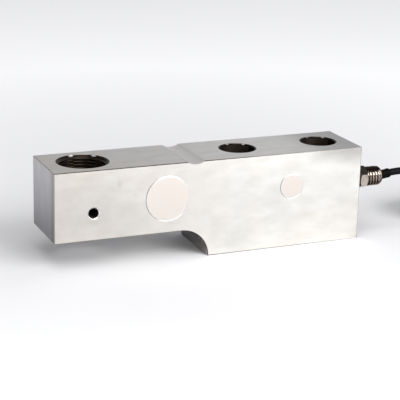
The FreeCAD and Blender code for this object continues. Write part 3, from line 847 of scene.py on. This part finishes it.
hexagon_corners = [hexagon_turn + math.radians(60 * number) for number in range(6)]
gland_angles = sorted(set(even_angles(144) + [a % math.tau for a in hexagon_corners]))
points, faces = turned_skin(gland_angles, gland_column, gland_axis, Vector((1, 0, 0)),
                            Vector((0, -1, 0)))
gland = finish_mesh("gland", points, faces, finishes["gland_metal"], 28.0)
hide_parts("gland_body")

# %% [markdown]
# ## The cable
# About 3 m of round 4.5 mm cable leaves the gland. The photograph shows only its first
# centimetre. The rest is folded into a hank in line with the beam, as such a cell is packed. A
# cable is one smooth line with a round section, so it is one curve: its first points are listed,
# and the turns of the hank come from a loop.
#
# The hank has five layers of two turns, and one more turn on top. A turn that changes its place
# does so on its own stretch of the loop. The lowest change frees a place, the next stretch back
# lets the turn above drop into it, and so on upward. That way no two turns cut through each
# other. The folds differ a little in length, as they do in a hank that is wound by hand.

# %% The way from the gland to the hank
cable_r = 2.25
lead_in = [(66.1, -13.5, 38.0), (67.5, -13.5, 38.05), (70.5, -13.5, 38.5), (73.5, -13.5, 39.0),
           (77.5, -13.5, 39.35), (83.0, -13.5, 39.5), (90.5, -13.6, 39.5), (103.5, -13.9, 36.3),
           (115.0, -14.2, 31.9), (124.5, -14.4, 28.0), (133.0, -14.5, 25.6), (141.0, -14.5, 25.6)]
tail_y = -24.35
tail_points = [(x, tail_y, 3.05) for x in (134.0, 147.0, 160.0)]
print("the cable comes down over", len(lead_in), "points")

# %% The turns of the hank
left_fold_x = 125.0
right_fold_x = 215.0
inner_fold_r = 14.5
outer_fold_r = 19.0
turn_step = 4.5
top_turn_z = 25.55
slack_share = 0.7
hand_slack = 0.5
legs = ["left", "front 1", "front 2", "front 3", "front 4", "right", "rear 1", "rear 2", "rear 3",
        "rear 4"]
fold_steps = 5
moves = {}
for turn in range(len(legs)):
    leg = legs[len(legs) - 1 - turn]
    if turn % 2 == 0:
        moves[turn, leg] = (0, -1)
    else:
        moves[turn, leg] = (1 if turn % 4 == 1 else -1, 0)
moves[len(legs), "left"] = (-(tail_y + outer_fold_r) / turn_step, 0)
print("each turn has", len(legs), "stretches, and the hank has", len(moves), "changes of place")


def fold_points(leg, slack):
    """Share of the leg, direction outward, and centre, for the points of a round fold."""
    side = -1 if leg == "left" else 1
    centre = Vector(((left_fold_x + slack) if leg == "left" else (right_fold_x - slack), 0, 0))
    places = []
    for step in range(fold_steps):
        share = (step + 0.5) / fold_steps
        angle = math.pi * share
        outward = Vector((side * math.sin(angle), -side * math.cos(angle), 0))
        places.append((share, outward / math.cos(math.pi / 2 / fold_steps), centre))
    return places


def run_points(leg):
    """The same for a quarter of a straight run."""
    side_name, number = leg.split()
    quarter = (right_fold_x - left_fold_x) / 4
    side = -1 if side_name == "front" else 1
    start_x = left_fold_x if side_name == "front" else right_fold_x
    places = []
    for share in (0.25, 0.75):
        x = start_x - side * quarter * (int(number) - 1 + share)
        places.append((share, Vector((0, side, 0)), Vector((x, 0, 0))))
    return places


def hank_points():
    """All the points of the turns, from the top of the hank down to its lowest layer."""
    chance = random.Random(5)
    radius, height = inner_fold_r, top_turn_z
    points = []
    for turn in range(len(legs) + 1):
        slack = (outer_fold_r - radius) / turn_step * slack_share + chance.uniform(0.0, hand_slack)
        turn_legs = legs[2:] if turn == 0 else legs[:1] if turn == len(legs) else legs
        for leg in turn_legs:
            columns, layers = moves.get((turn, leg), (0, 0))
            places = fold_points(leg, slack) if leg in ("left", "right") else run_points(leg)
            for share, outward, centre in places:
                eased = share * share * (3 - 2 * share)
                r = radius + columns * turn_step * eased
                z = height + layers * turn_step * eased
                points.append(tuple(centre + outward * r + Vector((0, 0, z))))
            radius += columns * turn_step
            height += layers * turn_step
    return points


# %% Build the cable
def smooth_curve(name, route, radius):
    """One open smooth line through the given points in millimetres, with a round section."""
    data = bpy.data.curves.new(name, "CURVE")
    data.dimensions = "3D"
    data.resolution_u = 8
    data.bevel_depth = radius * mm
    data.bevel_resolution = 5
    data.use_fill_caps = True
    spline = data.splines.new("NURBS")
    spline.points.add(len(route) - 1)
    for point, (x, y, z) in zip(spline.points, route):
        point.co = (x * mm, y * mm, z * mm, 1.0)
    spline.order_u = 3
    spline.use_endpoint_u = True
    curve = bpy.data.objects.new(name, data)
    bpy.context.collection.objects.link(curve)
    return curve


cable_points = lead_in + hank_points() + tail_points
cable = smooth_curve("cable", cable_points, cable_r)
dress(cable, finishes["cable_jacket"])
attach(cable, "root")
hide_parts("signal_cable", "cable_hank")
cable_length = cable.data.splines[0].calc_length()
print("the cable is", round(cable_length, 3), "m long")

# %% [markdown]
# ## The shrunk sleeve
# Where the cable leaves the gland, a heat-shrunk sleeve keeps it from kinking. It bends with the
# cable, tightens over the gland's rubber below it in two faint swellings, and its cut end draws
# in. It is a tube of rings that follow the cable's own first points, outside first and then back
# along its inner wall.

# %% Sizes of the sleeve
sleeve_points = [Vector(point) for point in lead_in[:5]]
sleeve_length = 7.3
sleeve_r = 2.93
sleeve_inner_r = 2.28
sleeve_gap = 0.02
sleeve_steps = 36
swelling_places = (1.0, 6.2)
swelling_height = 0.14
swelling_reach = 0.45
end_draws_in = 0.25
end_reach = 0.4


# %% Build the sleeve
def on_the_lead(distance):
    """The place on the first stretch of the cable, and its direction there."""
    x = nose_x + distance
    for before, after in zip(sleeve_points, sleeve_points[1:]):
        if x <= after.x:
            break
    share = (x - before.x) / (after.x - before.x)
    return before.lerp(after, share), (after - before).normalized()


def sleeve_loop(distance, radius):
    """One loop of points about the cable."""
    centre, along = on_the_lead(distance)
    sideways = Vector((0, -1, 0))
    upward = along.cross(sideways).normalized()
    return [(centre + sideways * radius * math.cos(a) + upward * radius * math.sin(a)) * mm
            for a in even_angles(32)]


def swelling(distance):
    """How much wider the sleeve is over the two swellings."""
    return sum(swelling_height * math.exp(-((distance - at) / swelling_reach) ** 2)
               for at in swelling_places)


loops = [sleeve_loop(sleeve_gap, sleeve_inner_r)]
for step in range(sleeve_steps + 1):
    distance = sleeve_gap + (sleeve_length - sleeve_gap) * step / sleeve_steps
    drawn_in = end_draws_in * max(0.0, (distance - sleeve_length + end_reach) / end_reach) ** 2
    loops.append(sleeve_loop(distance, sleeve_r + swelling(distance) - drawn_in))
loops.append(sleeve_loop(sleeve_length, sleeve_inner_r))
points = [point for loop in loops for point in loop]
sleeve = finish_mesh("sleeve", points, closed_faces(len(loops), len(loops[0])),
                     finishes["shrunk_sleeve"], 40.0)
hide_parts("cable_sleeve")

# %% [markdown]
# ## Floor, light and surroundings
# Metal shows its surroundings, so they make the picture. The floor is a white sweep. It is lit
# plainly, so it keeps the object's shadow, and for the camera and for reflections it glows a
# little where it is further away, since a real sweep curves up there and has lamps of its own.
# Light Path limits that glow to what the camera and the mirrors see, so it puts no light on the
# object.
#
# A large soft lamp stands in front, to the right, and a weaker one hangs overhead. The room is
# pale near the horizon, which is what the top face mirrors. Its ceiling is dark, which gives the
# dark line on the top edge.


# %% The floor
far_glow = 0.345
glow_starts = 0.145
glow_is_full = 0.54
floor_half = 6.0
floor_drop = 0.0001


def white_floor():
    """A matt white sweep that keeps shadows and glows towards the camera and in mirrors."""
    material, tree, shader, place = start_material("white paper sweep", 0.0, 0.9)
    uneven = cloud(tree, place, 400.0)
    tree.links.new(paint(tree, "#E4E4E6", [(uneven, "#E7E7E8")]), shader.inputs["Base Color"])
    add_node(tree, "MapRange", {"To Min": 0.85, "To Max": 0.95}, {"Value": uneven},
             shader.inputs["Roughness"])
    path = add_node(tree, "LightPath").outputs
    seen = join(tree, "MAXIMUM", path["Is Camera Ray"], path["Is Glossy Ray"],
                path["Is Transmission Ray"])
    away = add_node(tree, "VectorMath", {"operation": "LENGTH"}, {0: place}).outputs["Value"]
    rising = add_node(tree, "MapRange", {"From Min": glow_starts, "From Max": glow_is_full,
                                         "To Max": far_glow}, {"Value": away}).outputs[0]
    shader.inputs["Emission Color"].default_value = linear("#FFFFFF")
    tree.links.new(join(tree, "MULTIPLY", seen, rising), shader.inputs["Emission Strength"])
    return material


corners = [(x * floor_half, y * floor_half, -floor_drop)
           for x, y in ((-1, -1), (1, -1), (1, 1), (-1, 1))]
floor_mesh = bpy.data.meshes.new("floor")
floor_mesh.from_pydata(corners, [], [(0, 1, 2, 3)])
floor_mesh.materials.append(white_floor())
floor = bpy.data.objects.new("floor", floor_mesh)
bpy.context.collection.objects.link(floor)
print("the floor is", 2 * floor_half, "m wide")

# %% The room's glow and its dark ceiling
glow = 0.64
ceiling = 0.04
ceiling_starts = 0.6
ceiling_is_full = 0.9
world = bpy.data.worlds.new("room")
world.use_nodes = True
sky = world.node_tree
sky.nodes.clear()
direction = add_node(sky, "TexCoord").outputs["Generated"]
rise = add_node(sky, "SeparateXYZ", links={0: direction}).outputs["Z"]
level = add_node(sky, "MapRange", {"interpolation_type": "SMOOTHSTEP", "From Min": ceiling_starts,
                                   "From Max": ceiling_is_full, "To Min": glow, "To Max": ceiling},
                 {"Value": rise}).outputs[0]
light = add_node(sky, "Background", {"Color": linear("#FAFBFF")}, {"Strength": level})
add_node(sky, "OutputWorld", links={"Surface": light.outputs[0]})
bpy.context.scene.world = world
print("the room glows with", glow, "and its ceiling with", ceiling)


# %% The lamps
def soft_lamp(name, place, aim, size, power):
    """A soft rectangular lamp that points at a place on the object."""
    data = bpy.data.lights.new(name, "AREA")
    data.shape = "RECTANGLE"
    data.size, data.size_y = size
    data.energy = power
    lamp = bpy.data.objects.new(name, data)
    lamp.location = place
    lamp.rotation_euler = (Vector(aim) - Vector(place)).to_track_quat("-Z", "Y").to_euler()
    bpy.context.collection.objects.link(lamp)
    print(name, "gives", power, "W")


soft_lamp("key lamp", (0.49, -1.0, 0.76), (0.0, -0.1, 0.0), (0.95, 0.65), 15.8)
soft_lamp("overhead lamp", (-0.25, -0.48, 1.2), (-0.05, 0.0, 0.0), (0.8, 0.8), 7.2)

# %% [markdown]
# ## The view transform
# The view transform is the plain one, so a colour shows as it is written.

# %% Finish
bpy.context.scene.view_settings.view_transform = "Standard"
